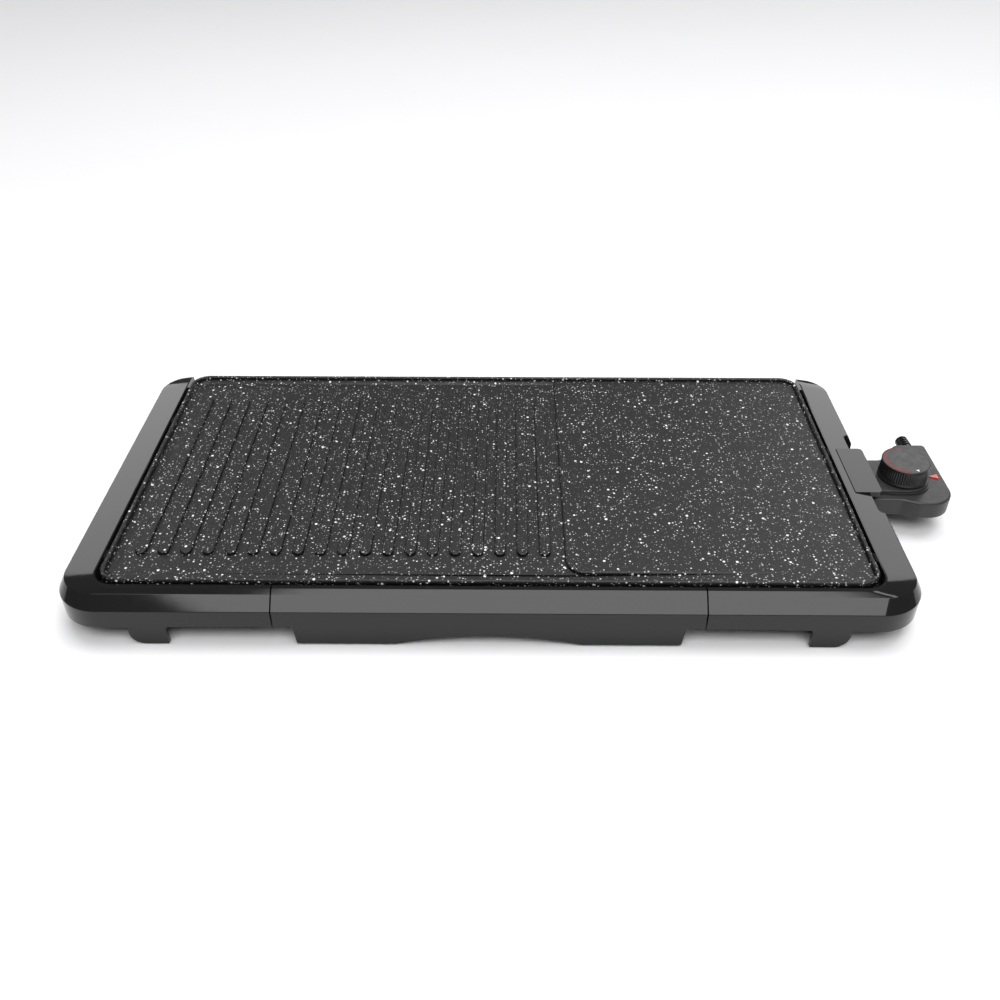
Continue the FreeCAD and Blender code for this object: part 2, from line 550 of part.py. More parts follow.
def make_frames():
    shell = make_rails()
    plain = end_moulding("plain_end", shell)
    left = mirrored("left_end", plain, FreeCAD.Vector(1, 0, 0))
    sub_part("left_frame", left)
    socket_end = end_moulding("socket_end", shell)
    recess = block("socket_recess", ("recess_x", "guard_out + 6"), ("-recess_half", "recess_half"),
                   ("0", "60"))
    back_x = value("recess_x")
    recess_round = rounded("socket_recess_round", recess, "recess_round",
                           lambda edge: upright(edge) and abs(edge.BoundBox.Center.x - back_x) < 0.1)
    skin = block("recess_skin", ("recess_x - shell_wall", "recess_x"),
                 ("-recess_half - shell_wall", "recess_half + shell_wall"), ("rail_low", "crown_z - 0.9"))
    window = block("socket_window", ("recess_x - shell_wall - 2", "recess_x + 2"),
                   ("-window_half", "window_half"),
                   ("0", "window_top"))
    pins = block("pin_gap", ("ledge_in - 1", "recess_x - shell_wall - 2"),
                 ("-pin_gap_half", "pin_gap_half"),
                 ("0", "window_top"))
    guard_block = block("guard_block", ("guard_in", "guard_out"), ("-guard_half", "guard_half"),
                        ("guard_low", "lip_z"))
    guard = rounded("guard_tab", guard_block, "guard_round",
                    lambda edge: upright(edge) and edge.BoundBox.Center.x > value("guard_out") - 1)
    wall = joined("recessed_end", less("recessed_rail", socket_end, recess_round), skin)
    right = joined("right_end", less("windowed_end", wall, window, pins), guard)
    sub_part("right_frame", right)
    rear = block("rear_strip", ("-strip_half", "strip_half"), ("strip_front", "strip_back"),
                 ("bar_top + 0.2", "skirt_low"))
    foot = block("rear_strip_foot", ("-strip_half", "strip_half"), ("rear_bar_y + 3", "strip_back - 0.1"),
                 ("bar_top", "bar_top + 1.6"))
    sub_part("rear_rail", joined("rear_moulding", rear, foot))
    return shell


def make_bars():
    for label, y in (("front_crossbar", "front_bar_y"), ("rear_crossbar", "rear_bar_y")):
        strip = block(label + "_strip", ("-bar_half", "bar_half"),
                      (f"{y} - bar_half_wide", f"{y} + bar_half_wide"),
                      ("bar_low", "bar_top"))
        holes = [rod(f"{label}_hole_{number}", "screw_r + screw_play", "6", f"{sign} * bar_screw_x", y,
                     "bar_low - 2")
                 for number, sign in enumerate((-1, 1))]
        sub_part(label, less(label + "_drilled", strip, *holes))
    screws = []
    spots = [(sign, y) for y in ("front_bar_y", "rear_bar_y") for sign in (-1, 1)]
    for number, (sign, y) in enumerate(spots):
        x = f"{sign} * bar_screw_x"
        head = rod(f"frame_head_{number}", "screw_head_r", "screw_head", x, y, "bar_top")
        shank = rod(f"frame_shank_{number}", "screw_r", "bar_top - pillar_low + 2.5", x, y,
                    "pillar_low - 2")
        drive = block(f"frame_slot_{number}", (f"{x} - drive_half", f"{x} + drive_half"),
                      (f"{y} - drive_wide / 2", f"{y} + drive_wide / 2"),
                      ("bar_top + screw_head - drive_deep", "bar_top + screw_head + 1"))
        screws.append(less(f"frame_screw_{number}", joined(f"frame_blank_{number}", head, shank), drive))
    sub_part("frame_screws", group("frame_screw_set", *screws))


def foot_pad(name, sign, front):
    """Rubber pad under one foot's core, on the right (1) or the left (-1)."""
    ends = ("core_in + pad_margin", "core_out - pad_margin")
    if sign < 0:
        ends = ("pad_margin - core_out", "-core_in - pad_margin")
    shoe = block(name + "_block", ends, (f"{front} + 1 + pad_margin", f"{front} + foot_deep - pad_margin"),
                 ("0", "pad_top"))
    return rounded(name, shoe, "pad_round", upright)


def make_foot_pads():
    spots = [(sign, y) for y in ("rail_front + foot_inset", "rear_foot_y") for sign in (-1, 1)]
    sub_part("foot_pads", group("foot_pad_set", *[foot_pad(f"foot_pad_{number}", sign, y)
                                                  for number, (sign, y) in enumerate(spots)]))


# --- heat shield, element and terminals ---------------------------------------------------------

def make_shield():
    outer = block("shield_outer", ("-shield_half", "shield_half"), ("shield_front", "shield_back - 6"),
                  ("bar_top", "shield_top"))
    inner = block("shield_inner", ("-shield_half + shield_sheet", "shield_half - shield_sheet"),
                  ("shield_front + shield_sheet", "shield_back - 6 - shield_sheet"),
                  ("bar_top + shield_sheet", "60"))
    gap = block("shield_gap", ("shield_half - 5", "shield_half + 5"), ("-pin_gap_half", "pin_gap_half"),
                ("bar_top + shield_sheet", "60"))
    sub_part("reflector_pan", less("shield", outer, inner, gap))


def two_radius_path(points, tight, wide):
    """Wire through the points: corners within the risers use the tight radius, the loops the wide one."""
    riser_start = value("riser_top") - 1
    edges = []
    start = points[0]
    for before, corner, after in zip(points, points[1:], points[2:]):
        radius = tight if corner.x > riser_start else wide
        back = (before - corner).normalize()
        ahead = (after - corner).normalize()
        half = back.getAngle(ahead) / 2
        reach = radius / math.tan(half)
        middle = corner + (back + ahead).normalize() * (radius / math.sin(half) - radius)
        edges.append(Part.makeLine(start, corner + back * reach))
        edges.append(Part.Arc(corner + back * reach, middle, corner + ahead * reach).toShape())
        start = corner + ahead * reach
    edges.append(Part.makeLine(start, points[-1]))
    return Part.Wire(edges)


def make_element():
    reach, inner, bend = value("coil_reach"), value("coil_inner"), value("coil_bend")
    far, close, level = value("coil_outer_y"), value("coil_inner_y"), value("coil_z")
    side, low, end = value("terminal_y"), value("terminal_z"), value("sheath_end")
    rise, top = value("riser_x"), value("riser_top")
    upper = [(end, side, low), (rise, side, low), (top, side, level), (reach, side, level),
             (reach, far, level),
             (-reach, far, level), (-reach, close, level), (inner, close, level)]
    points = [FreeCAD.Vector(*point) for point in upper]
    points += [FreeCAD.Vector(x, -y, z) for x, y, z in reversed(upper)]
    wire = two_radius_path(points, value("riser_bend"), bend)
    section = Part.Wire(Part.makeCircle(value("coil_r"), points[0], FreeCAD.Vector(-1, 0, 0)))
    tube = wire.makePipeShell([section], True, False)
    element = doc.addObject("Part::Feature", "element_tube")
    element.Shape = tube
    sub_part("heating_element", element)


def make_terminals():
    pins = []
    bushings = []
    for number, sign in enumerate((-1, 1)):
        y = f"{sign} * terminal_y"
        pins.append(rod(f"pin_{number}", "terminal_r", "terminal_tip - sheath_end", "sheath_end", y,
                        "terminal_z", "x"))
        ring = rod(f"bushing_ring_{number}", "bushing_r", "bracket_sheet + 2 * collar",
                   "bracket_x - collar", y,
                   "terminal_z", "x")
        bore = rod(f"bushing_bore_{number}", "coil_r + fit_gap", "40", "bracket_x - 20", y, "terminal_z",
                   "x")
        bushings.append(less(f"bushing_{number}", ring, bore))
    sub_part("terminal_pins", group("terminal_pin_set", *pins))
    sub_part("terminal_bushings", group("bushing_set", *bushings))
    plate = block("bracket_plate", ("bracket_x", "bracket_x + bracket_sheet"),
                  ("-bracket_half", "bracket_half"),
                  ("bracket_low", "bracket_top"))
    foot = block("bracket_foot", ("shield_half - 8", "bracket_x + 0.4"), ("-bracket_half", "bracket_half"),
                 ("bar_low", "bar_top"))
    holes = [rod(f"bracket_hole_{number}", "bushing_r + fit_gap", "10", "bracket_x - 5",
                 f"{sign} * terminal_y",
                 "terminal_z", "x") for number, sign in enumerate((-1, 1))]
    probe_hole = rod("bracket_probe_hole", "probe_r + slide_gap", "10", "bracket_x - 5", "0", "probe_z",
                     "x")
    sub_part("terminal_bracket", less("bracket", joined("bracket_blank", plate, foot), *holes, probe_hole))


def make_supports():
    supports = []
    spots = [(x, y) for x in ("support_left", "support_middle", "support_right")
             for y in ("coil_outer_y", "-coil_outer_y")]
    spots += [("support_inner", "coil_inner_y"), ("support_inner", "-coil_inner_y")]
    for number, (x, y) in enumerate(spots):
        post = block(f"support_post_{number}", (f"{x} - support_wide / 2", f"{x} + support_wide / 2"),
                     (f"{y} - support_half", f"{y} + support_half"),
                     ("bar_top + shield_sheet", "coil_z - 1"))
        seat = rod(f"support_seat_{number}", "coil_r + 0.1", "20", f"{x} - 10", y, "coil_z", "x")
        supports.append(less(f"support_{number}", post, seat))
    sub_part("element_supports", group("support_set", *supports))


def make_clips():
    clips = []
    spots = [(-1, "clip_front"), (-1, "clip_left_back"), (1, "clip_front"), (1, "clip_right_back")]
    for number, (sign, y) in enumerate(spots):
        leg_span = ("clip_x", "clip_x + clip_sheet") if sign > 0 else ("-clip_x - clip_sheet", "-clip_x")
        foot_span = ("clip_foot", "clip_x + clip_sheet") if sign > 0 else ("-clip_x - clip_sheet",
                                                                           "-clip_foot")
        width = (f"{y} - clip_half", f"{y} + clip_half")
        leg = block(f"clip_leg_{number}", leg_span, width, ("skirt_low", "skirt_low + clip_high"))
        base = block(f"clip_foot_{number}", foot_span, width, ("skirt_low", "skirt_low + clip_sheet"))
        clips.append(joined(f"clip_{number}", leg, base))
    sub_part("plate_clips", group("clip_set", *clips))


# --- drip tray ----------------------------------------------------------------------------------

def make_tray(shell):
    body = new_body("tray_body")
    sketch = sketch_on(body, "XY_Plane", "tray_outline", "tray_low")
    round_box(sketch, "-tray_half", "tray_half", "tray_front_y", "tray_back", "tray_corner", "tray_corner")
    pad(body, sketch, "tray_top - tray_low", "tray_block")
    sketch = sketch_on(body, "XY_Plane", "tray_flange_outline", "tray_top - lip_thick")
    front, back = "tray_front_y + flange_inset", "tray_back - flange_inset"
    outline(sketch, [("-tray_lip", front), ("tray_lip", front), ("tray_lip", back), ("-tray_lip", back)])
    pad(body, sketch, "lip_thick", "tray_flange")
    sketch = sketch_on(body, "XY_Plane", "tray_hollow_outline", "tray_top")
    round_box(sketch, "-tray_half + tray_wall", "tray_half - tray_wall", "tray_front_y + tray_wall",
              "tray_back - tray_wall", "tray_corner - tray_wall", "tray_corner - tray_wall")
    pocket(body, sketch, "tray_top - tray_low - tray_wall", "tray_hollow")
    sketch = sketch_on(body, "XZ_Plane", "tray_hole_outline", "-tray_front_y + 1")
    for sign in (-1, 1):
        circle(sketch, f"{sign} * lug_screw_x", "lug_screw_z", "screw_r + screw_play")
    pocket(body, sketch, "4", "tray_screw_holes")
    sub_part("drip_tray", body)

    zone = block("tray_zone", ("-seam_x + seam_gap", "seam_x - seam_gap"),
                 ("rail_front - 5", "opening_front + 0.01"),
                 ("seam_low", "50"))
    cover = overlap("tray_cover", shell, zone)
    flange = new_body("tray_apron")
    sketch = sketch_on(flange, "XZ_Plane", "apron_outline", "-rail_front")
    outline(sketch, [("-flange_low_x", "flange_low"), ("flange_low_x", "flange_low"),
                     ("flange_top_x", "seam_low + 1"), ("-flange_top_x", "seam_low + 1")])
    pad(flange, sketch, "flange_wall", "apron", back=True)
    low_corner = value("flange_low") + 0.1
    soften(flange, "arch_round", "apron_corners",
           lambda edge: edge.BoundBox.YLength > 1 and edge.BoundBox.XLength < 0.1
           and edge.BoundBox.ZMax < low_corner)
    rise = "(arch_z - flange_low)"
    arch_radius = f"(arch_x * arch_x + {rise} * {rise}) / (2 * {rise})"
    finger_arch = rod("finger_arch", arch_radius, "20", "0", "rail_front - 5", f"arch_z - {arch_radius}",
                      "y")
    spans = [("-seam_x + seam_gap", "-seam_x + seam_gap + shell_wall"),
             ("seam_x - seam_gap - shell_wall", "seam_x - seam_gap")]
    ends = [block(f"tray_end_{number}", span, ("rail_front + 1", "opening_front - 1"),
                  ("seam_low", "rail_wall_top - 1")) for number, span in enumerate(spans)]
    lugs = [block(f"lug_{number}", span, ("opening_front - ledge_wall", "lug_y"),
                  ("lug_low", "rail_wall_top"))
            for number, span in enumerate([("lug_in", "lug_out"), ("-lug_out", "-lug_in")])]
    holes = [rod(f"lug_hole_{number}", "screw_r", "8", f"{sign} * lug_screw_x", "lug_y - 8", "lug_screw_z",
                 "y")
             for number, sign in enumerate((-1, 1))]
    apron = less("apron_arched", flange, finger_arch)
    front = joined("tray_front_whole", cover, apron, *ends, *lugs)
    sub_part("tray_front", less("tray_front_drilled", front, *holes))
    screws = []
    for number, sign in enumerate((-1, 1)):
        x = f"{sign} * lug_screw_x"
        shank = rod(f"tray_shank_{number}", "screw_r", "tray_wall + screw_bite", x, "lug_y - screw_bite",
                    "lug_screw_z", "y")
        head = rod(f"tray_head_{number}", "screw_head_r", "screw_head", x, "lug_y + tray_wall",
                   "lug_screw_z", "y")
        screws.append(joined(f"tray_screw_{number}", shank, head))
    sub_part("tray_screws", group("tray_screw_set", *screws))

    right = joined("runner_right", block("runner_web", ("runner_x", "runner_x + runner_sheet"),
                                         ("runner_front", "runner_back"), ("runner_low", "bar_low")),
                   block("runner_shelf", ("runner_in", "runner_x + 0.2"), ("runner_front", "runner_back"),
                         ("runner_low", "runner_low + runner_sheet")),
                   block("runner_top", ("runner_x", "runner_flange"), ("runner_front", "runner_back"),
                         ("bar_low - runner_sheet", "bar_low")))
    left = mirrored("runner_left", right, FreeCAD.Vector(1, 0, 0))
    sub_part("tray_runners", group("runner_pair", right, left))


# --- heat control -------------------------------------------------------------------------------

def case_outline(inset):
    """Corners of the control's outline, moved inwards by an inset formula."""
    return [(f"neck_in + {inset}", f"-neck_half + {inset}"), ("neck_out", f"-neck_half + {inset}"),
            ("paddle_x", f"paddle_front + {inset}"), (f"paddle_out - {inset}", f"paddle_front + {inset}"),
            (f"paddle_out - {inset}", f"paddle_back - {inset}"),
            (f"paddle_back_x + 0.5 * {inset}", f"paddle_back - {inset}"),
            (f"neck_out + 0.5 * {inset}", f"neck_half - {inset}"),
            (f"neck_in + {inset}", f"neck_half - {inset}")]


def case_block(name, low, high, inset="0"):
    """Prism over the control's outline with its upright edges rounded."""
    body = new_body(name)
    sketch = sketch_on(body, "XY_Plane", name + "_outline", low)
    corners = case_outline(inset)
    outline(sketch, corners)
    pad(body, sketch, f"{high} - ({low})", name + "_prism")
    rounds = [(f"case_corner - {inset}", corners[3]), (f"case_sharp - 0.5 * {inset}", corners[4]),
              ("case_blend", corners[1]), ("case_blend", corners[2]), ("case_blend", corners[6]),
              ("case_blend", corners[5])]
    for number, (radius, (x, y)) in enumerate(rounds):
        spot = (value(x), value(y))
        soften(body, radius, f"{name}_round_{number}", lambda edge: upright(edge) and near(edge, *spot))
    return body


def case_half(name, closed, low, high, hollow_low, hollow_high):
    """Half of the case: its closed end softened and its inside cut away."""
    body = case_block(name, low, high)
    soften(body, "case_edge", name + "_edge", at_height(closed))
    return less(name + "_hollowed", body,
                case_block(name + "_inside", hollow_low, hollow_high, "case_wall"))


def case_tools(name):
    """Openings shared by both halves: pins, probe and strain relief."""
    tools = [rod(f"{name}_pin_{number}", "terminal_r + 0.5", "8", "neck_in - 4", f"{sign} * terminal_y",
                 "terminal_z", "x") for number, sign in enumerate((-1, 1))]
    tools.append(rod(name + "_probe", "probe_r", "8", "neck_in - 4", "0", "probe_z", "x"))
    tools.append(rod(name + "_relief", "relief_neck + fit_gap", "12", "relief_x", "paddle_back - 6",
                     "relief_z", "y"))
    return tools


def post_spots():
    return [("post_front_x", "post_front_y"), ("post_back_x", "post_back_y")]


def make_case():
    lower = case_half("case_lower", "case_low", "case_low", "case_split", "case_low + case_wall",
                      "case_split + 1")
    sockets = []
    holes = []
    for number, (x, y) in enumerate(post_spots()):
        sockets.append(rod(f"lower_boss_{number}", "boss_r", "case_split - case_low - 1", x, y,
                           "case_low + 1"))
        holes.append(rod(f"lower_hole_{number}", "screw_r + 0.1", "20", x, y, "case_low - 5"))
        holes.append(rod(f"lower_sink_{number}", "screw_head_r + 0.2", "screw_head + 5", x, y,
                         "case_low - 5"))
    sub_part("control_lower_housing",
             less("case_lower_drilled", joined("case_lower_whole", lower, *sockets),
                                           *holes, *case_tools("lower")))

    upper = case_half("case_upper", "case_top", "case_split", "case_top", "case_split - 1",
                      "case_top - case_wall")
    deck = new_body("knob_deck")
    sketch = sketch_on(deck, "XY_Plane", "deck_outline", "case_top - 0.5")
    round_box(sketch, "deck_in", "knob_x + deck_half", "-deck_half", "deck_half",
              "deck_half - 0.01", "deck_half - 0.01")
    pad(deck, sketch, "deck_step_high + 0.5", "deck_low_step")
    sketch = sketch_on(deck, "XY_Plane", "deck_top_outline", "case_top + deck_step_high - 0.2")
    round_box(sketch, "deck_in", "knob_x + deck_half - deck_step", "-deck_half + deck_step",
              "deck_half - deck_step",
              "deck_half - deck_step - 0.01", "deck_half - deck_step - 0.01")
    pad(deck, sketch, "deck_high - deck_step_high + 0.2", "deck_top_step")
    soften(deck, "0.6", "deck_edge", at_height("case_top + deck_high"))
    square = block("deck_tail", ("deck_in", "knob_x"), ("-deck_half + deck_step", "deck_half - deck_step"),
                   ("case_top - 0.5", "case_top + deck_high - 0.6"))
    posts = [rod(f"upper_post_{number}", "boss_r", "case_top - case_split - 1", x, y, "case_split")
             for number, (x, y) in enumerate(post_spots())]
    bores = [rod(f"upper_bore_{number}", "screw_r", "case_top - case_split - 2.5", x, y, "case_split - 0.5")
             for number, (x, y) in enumerate(post_spots())]
    shaft_hole = rod("deck_shaft_hole", "shaft_r + shaft_gap", "20", "knob_x", "0", "case_top - 5")
    whole = joined("case_upper_whole", upper, deck, square, *posts)
    window = lens_prism("window", "0.1", "5")
    sub_part("control_upper_housing", less("case_upper_drilled", whole, *bores, shaft_hole, window,
                                           *case_tools("upper")))
    screws = []
    for number, (x, y) in enumerate(post_spots()):
        head = rod(f"case_head_{number}", "screw_head_r", "screw_head", x, y, "case_low")
        shank = rod(f"case_shank_{number}", "screw_r", "case_top - case_low - 4", x, y, "case_low + 0.5")
        screws.append(joined(f"case_screw_{number}", head, shank))
    sub_part("housing_screws", group("case_screw_set", *screws))
    sub_part("indicator_lens", lens_prism("lens", "0", "0"))


def lens_prism(name, grow, extra):
    """Triangular prism pointing at the knob; grow and extra make its window wider and taller."""
    body = new_body(name + "_prism_body")
    sketch = sketch_on(body, "XY_Plane", name + "_triangle", "lens_low")
    outline(sketch, [(f"lens_x - lens_long / 2 - 2 * {grow}", "lens_y"),
                     (f"lens_x + lens_long / 2 + {grow}", f"lens_y - lens_half - 1.6 * {grow}"),
                     (f"lens_x + lens_long / 2 + {grow}", f"lens_y + lens_half + 1.6 * {grow}")])
    pad(body, sketch, f"lens_top - lens_low + {extra}", name + "_triangle_pad")
    return body


def make_control_inside():
    tip = doc.addObject("Part::Sphere", "probe_tip_ball")
    bind(tip, Radius="probe_r")
    place(tip, "probe_tip + probe_r", "0", "probe_z")
    stem = rod("probe_stem", "probe_r", "probe_root - probe_tip - probe_r", "probe_tip + probe_r", "0",
               "probe_z", "x")
    sub_part("sensor_probe", joined("probe", tip, stem))
    sleeves = []
    for number, sign in enumerate((-1, 1)):
        y = f"{sign} * terminal_y"
        tube = rod(f"sleeve_tube_{number}", "sleeve_r", "sleeve_out - sleeve_in", "sleeve_in", y,
                   "terminal_z", "x")
        bore = rod(f"sleeve_bore_{number}", "sleeve_bore", "sleeve_out - sleeve_in - 2", "sleeve_in - 1", y,
                   "terminal_z", "x")
        sleeves.append(less(f"sleeve_{number}", tube, bore))
    sub_part("contact_sleeves", group("sleeve_pair", *sleeves))
    carrier = block("carrier_block", ("carrier_in", "carrier_out"), ("-carrier_half", "carrier_half"),
                    ("carrier_low", "carrier_top"))
    bores = [rod(f"carrier_bore_{number}", "sleeve_r", "30", "carrier_in - 5", f"{sign} * terminal_y",
                 "terminal_z", "x") for number, sign in enumerate((-1, 1))]
    bores.append(rod("carrier_probe_bore", "probe_r + fit_gap", "30", "carrier_in - 5", "0", "probe_z",
                     "x"))
    sub_part("contact_carrier", less("carrier", carrier, *bores))
    bracket = block("thermostat_plate", ("web_x", "knob_x + bracket_reach"), ("-web_half", "bracket_side"),
                    ("plate_bracket_low", "plate_bracket_low + plate_bracket_high"))
    wall = block("thermostat_wall", ("web_x", "web_x + plate_bracket_high"), ("-web_half", "web_half"),
                 ("plate_bracket_low", "web_top"))
    probe_hole = rod("thermostat_probe_hole", "probe_r + slide_gap", "10", "carrier_out - 2", "0",
                     "probe_z", "x")
    web = less("thermostat_web", wall, probe_hole)
    sub_part("thermostat_bracket", joined("thermostat_frame", bracket, web))
    sub_part("bimetal_blade",
             block("bimetal", ("blade_in", "knob_x - 9"), ("bimetal_front", "bimetal_back"),
                                    ("bimetal_low", "bimetal_low + bimetal_thick")))
    blades = [block(f"blade_{level}", ("blade_in", "blade_out"),
                    ("blade_y - blade_half", "blade_y + blade_half"),
                    (f"blade_{level}_z", f"blade_{level}_z + blade_thick")) for level in ("low", "high")]
    sub_part("switch_blades", group("blade_pair", *blades))
    points = [rod("point_low", "point_r", "point_high", "point_x", "blade_y", "blade_low_z + blade_thick"),
              rod("point_high", "point_r", "point_high", "point_x", "blade_y", "blade_high_z - point_high")]
    sub_part("contact_points", group("point_pair", *points))
    sub_part("blade_holder", block("blade_block", ("holder_in", "blade_in"),
                                   ("blade_y - holder_half", "blade_y + holder_half"),
                                   ("plate_bracket_low", "holder_top")))
    sub_part("stop_post", rod("stop_pin", "stop_r", "post_top - plate_bracket_low - plate_bracket_high",
                              "knob_x + stop_reach", "stop_side", "plate_bracket_low + plate_bracket_high"))
    sub_part("neon_lamp",
             rod("lamp", "lamp_r", "lamp_long", "lens_x", "lens_y - lamp_long / 2", "lamp_z", "y"))


def make_relief():
    neck = rod("relief_neck_rod", "relief_neck", "case_wall + 0.4", "relief_x",
               "paddle_back - case_wall - 0.2",
               "relief_z", "y")
    inside = rod("relief_inner_flange", "relief_flange", "flange_thick", "relief_x",
                 "paddle_back - case_wall - flange_thick", "relief_z", "y")
    outside = rod("relief_outer", "relief_r", "relief_collar", "relief_x", "paddle_back", "relief_z", "y")
    rings = [rod(f"relief_ring_{number}", f"relief_r - ring_taper * {number}", "ring_wide", "relief_x",
                 f"paddle_back + ring_start + {number} * ring_pitch", "relief_z",
                 "y") for number in range(4)]
    core = rod("relief_core", "relief_r - ring_deep", "relief_end - paddle_back", "relief_x", "paddle_back",
               "relief_z", "y")
    bore = rod("relief_bore", "cord_r", "60", "relief_x", "paddle_back - 30", "relief_z", "y")
    sub_part("strain_relief",
             less("relief", joined("relief_whole", neck, inside, outside, core, *rings), bore))
    sub_part("cord_clamp", block("clamp_bar", ("relief_x - clamp_half", "relief_x + clamp_half"),
                                 ("clamp_y - clamp_deep / 2", "clamp_y + clamp_deep / 2"),
                                 ("clamp_low", "clamp_low + clamp_thick")))
    screws = [rod(f"clamp_screw_{number}", "clamp_head_r", "clamp_head",
                  f"relief_x + {sign} * clamp_screw_x",
                  "clamp_y", "clamp_low + clamp_thick") for number, sign in enumerate((-1, 1))]
    sub_part("clamp_screws", group("clamp_screw_set", *screws))


def make_knob():
    body = new_body("knob_body")
    sketch = sketch_on(body, "XZ_Plane", "knob_profile")
    outline(sketch, [("knob_x + hub_r", "hub_low"), ("knob_x + hub_r", "knob_top - knob_skin"),
                     ("knob_x + knob_top_r - knob_skin", "knob_top - knob_skin"),
                     ("knob_x + knob_base_r - knob_skin", "knob_low"), ("knob_x + knob_base_r", "knob_low"),
                     ("knob_x + knob_top_r", "knob_top"), ("knob_x", "knob_top"), ("knob_x", "shaft_top"),
                     ("knob_x + shaft_r", "shaft_top"), ("knob_x + shaft_r", "hub_low")])
    low_end = FreeCAD.Vector(value("knob_x"), 0, 0)
    high_end = FreeCAD.Vector(value("knob_x"), 60, 0)
    axis = sketch.addGeometry(Part.LineSegment(low_end, high_end), True)
    sketch.addConstraint(Sketcher.Constraint("Vertical", axis))
    hold(sketch, "DistanceX", "knob_x", -1, 1, axis, 1)
    hold(sketch, "DistanceY", "0", -1, 1, axis, 1)
    hold(sketch, "DistanceY", "60", -1, 1, axis, 2)
    turned = body.newObject("PartDesign::Revolution", "knob_turned")
    turned.Profile = sketch
    turned.ReferenceAxis = (sketch, ["Axis0"])
    turned.Angle = 360
    outer = value("knob_top_r") - 0.5
    soften(body, "knob_round", "knob_edge",
           lambda edge: at_height("knob_top")(edge) and edge.BoundBox.XLength > 2 * outer)
    sub_part("control_knob", body)
    shaft = rod("shaft", "shaft_r", "shaft_top - shaft_low - 0.4", "knob_x", "0", "shaft_low + 0.2")
    sub_part("knob_shaft", shaft)
    disc = rod("cam_disc", "cam_r", "cam_high", "knob_x", "0", "cam_low")
    tooth = block("cam_tooth_block", ("knob_x - cam_tooth_half", "knob_x + cam_tooth_half"),
                  ("-cam_tooth", "0"),
                  ("cam_low", "cam_low + cam_high"))
    bore = rod("cam_bore", "shaft_r", "20", "knob_x", "0", "cam_low - 10")
    sub_part("stop_cam", less("cam", joined("cam_blank", disc, tooth), bore))


make_plate()
rail_shell = make_frames()
make_bars()
make_foot_pads()
make_shield()
make_element()
make_terminals()
make_supports()
make_clips()
make_tray(rail_shell)
make_case()
make_control_inside()
make_relief()
make_knob()
doc.recompute()

failed = [thing.Name for thing in doc.Objects if "Invalid" in thing.State or "Error" in thing.State]
if failed:
    raise ValueError("not computed: " + ", ".join(failed))
for thing in parts:
    if thing.Shape.isNull() or not thing.Shape.isValid() or not thing.Shape.Solids:
        raise ValueError(thing.Label + " is not a valid solid")
for thing in parts:
    thing.Shape.exportStep(f"parts/{thing.Label}.step")
    print(thing.Label, len(thing.Shape.Solids), round(thing.Shape.Volume, 1))
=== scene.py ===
import json
import math

import bmesh
import bpy
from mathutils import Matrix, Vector


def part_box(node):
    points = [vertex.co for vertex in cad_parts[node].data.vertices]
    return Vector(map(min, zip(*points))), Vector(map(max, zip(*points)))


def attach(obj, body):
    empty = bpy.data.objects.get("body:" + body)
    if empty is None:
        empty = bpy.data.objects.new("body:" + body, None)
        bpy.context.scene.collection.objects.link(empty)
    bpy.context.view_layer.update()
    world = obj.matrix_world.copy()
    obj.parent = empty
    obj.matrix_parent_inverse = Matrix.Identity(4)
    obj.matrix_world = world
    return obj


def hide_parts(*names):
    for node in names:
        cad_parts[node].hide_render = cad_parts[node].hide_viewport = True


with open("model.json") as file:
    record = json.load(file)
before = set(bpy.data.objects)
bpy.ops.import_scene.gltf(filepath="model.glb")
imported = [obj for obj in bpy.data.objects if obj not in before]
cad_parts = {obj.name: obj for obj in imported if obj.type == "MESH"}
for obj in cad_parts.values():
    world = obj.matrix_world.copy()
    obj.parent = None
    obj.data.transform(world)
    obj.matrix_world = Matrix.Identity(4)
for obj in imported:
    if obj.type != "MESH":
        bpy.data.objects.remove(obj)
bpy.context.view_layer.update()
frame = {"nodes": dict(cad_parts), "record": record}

# Electric griddle in a plain studio. Lengths are in metres in the row frame: X along the griddle,
# Y to its back, Z up from the floor.

MM = 0.001
HUB_RADIUS, HUB_LIFT = 5.2 * MM, 1 * MM  # the knob's hub, and its height over the knob's foot
DIAL_DROP = 0.1 * MM  # how far the knob's dial lies below its rim
LEVEL = 0.99  # faces whose normal is this upright are shaded flat
scene = bpy.context.scene
nodes = frame["nodes"]
slots = {part["node"]: part["material_slot"] for part in frame["record"]["subparts"]}


def middle(node):
    low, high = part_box(node)
    return (Vector(low) + Vector(high)) / 2


# --- camera -------------------------------------------------------------------------------------

def make_camera():
    data = bpy.data.cameras.new("camera")
    data.sensor_width = 36
    data.lens = 36.2
    camera = bpy.data.objects.new("camera", data)
    plate = middle("griddle_plate")
    camera.location = (plate.x + 0.0104, plate.y - 0.5836, 0.4486)
    camera.rotation_euler = (math.radians(90 - 37), 0, math.radians(0.455))
    scene.collection.objects.link(camera)
    scene.camera = camera
    scene.view_settings.view_transform = "Standard"
    scene.view_settings.look = "None"


# --- materials ----------------------------------------------------------------------------------

